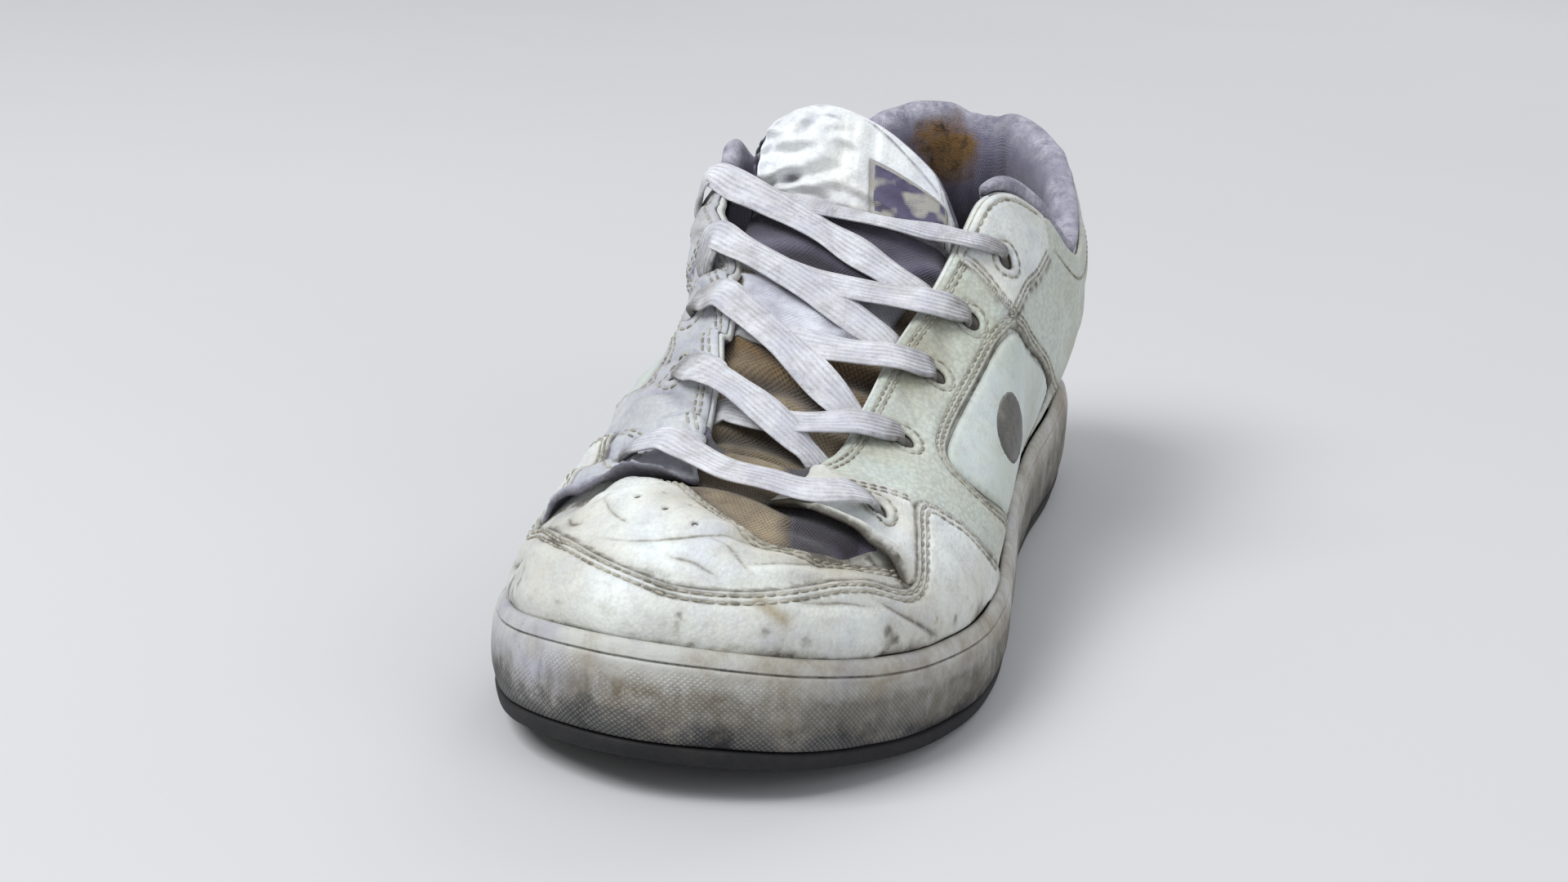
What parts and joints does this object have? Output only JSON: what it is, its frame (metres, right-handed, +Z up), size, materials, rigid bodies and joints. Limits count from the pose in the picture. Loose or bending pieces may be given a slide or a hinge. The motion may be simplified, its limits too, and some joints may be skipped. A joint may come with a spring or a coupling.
{
  "type": "sneaker",
  "caption": "Worn low leather sneaker for the left foot: stitched rubber cupsole, panelled upper, padded collar and tongue, flat laces without a bow.",
  "frame": {"origin": "centre of the shoe's bounding box, on the ground under the sole", "axes": "+Z up, heel towards +Y, toe towards -Y, outer side of this left shoe towards +X"},
  "size_m": [0.1096, 0.298, 0.1177],
  "materials": {
    "dark_outsole_rubber": "matte, worn",
    "sidewall_rubber": "matte, dirty",
    "insole_foam": "matte textile on foam",
    "worn_leather": "creased, satin",
    "tumbled_leather": "grained, satin",
    "lining_textile": "matte",
    "tongue_cover": "soft, padded",
    "woven_textile": "woven",
    "lace_cotton": "flat woven"
  },
  "bodies": {
    "root": {"outsole": "dark_outsole_rubber", "cupsole": "sidewall_rubber", "insole": "insole_foam", "upper": "worn_leather", "mudguard": "worn_leather", "wing_outer": "worn_leather", "wing_inner": "worn_leather", "quarter_outer": "tumbled_leather", "quarter_inner": "tumbled_leather", "eyestay_top_outer": "worn_leather", "eyestay_top_inner": "worn_leather", "heel_panel": "worn_leather", "collar_lining": "lining_textile", "tongue": "tongue_cover", "tongue_label": "woven_textile", "lace_keeper": "woven_textile", "lace_bar": "lace_cotton", "lace_cross_1": "lace_cotton", "lace_cross_2": "lace_cotton", "lace_cross_3": "lace_cotton", "lace_cross_4": "lace_cotton"}
  },
  "joints": []
}
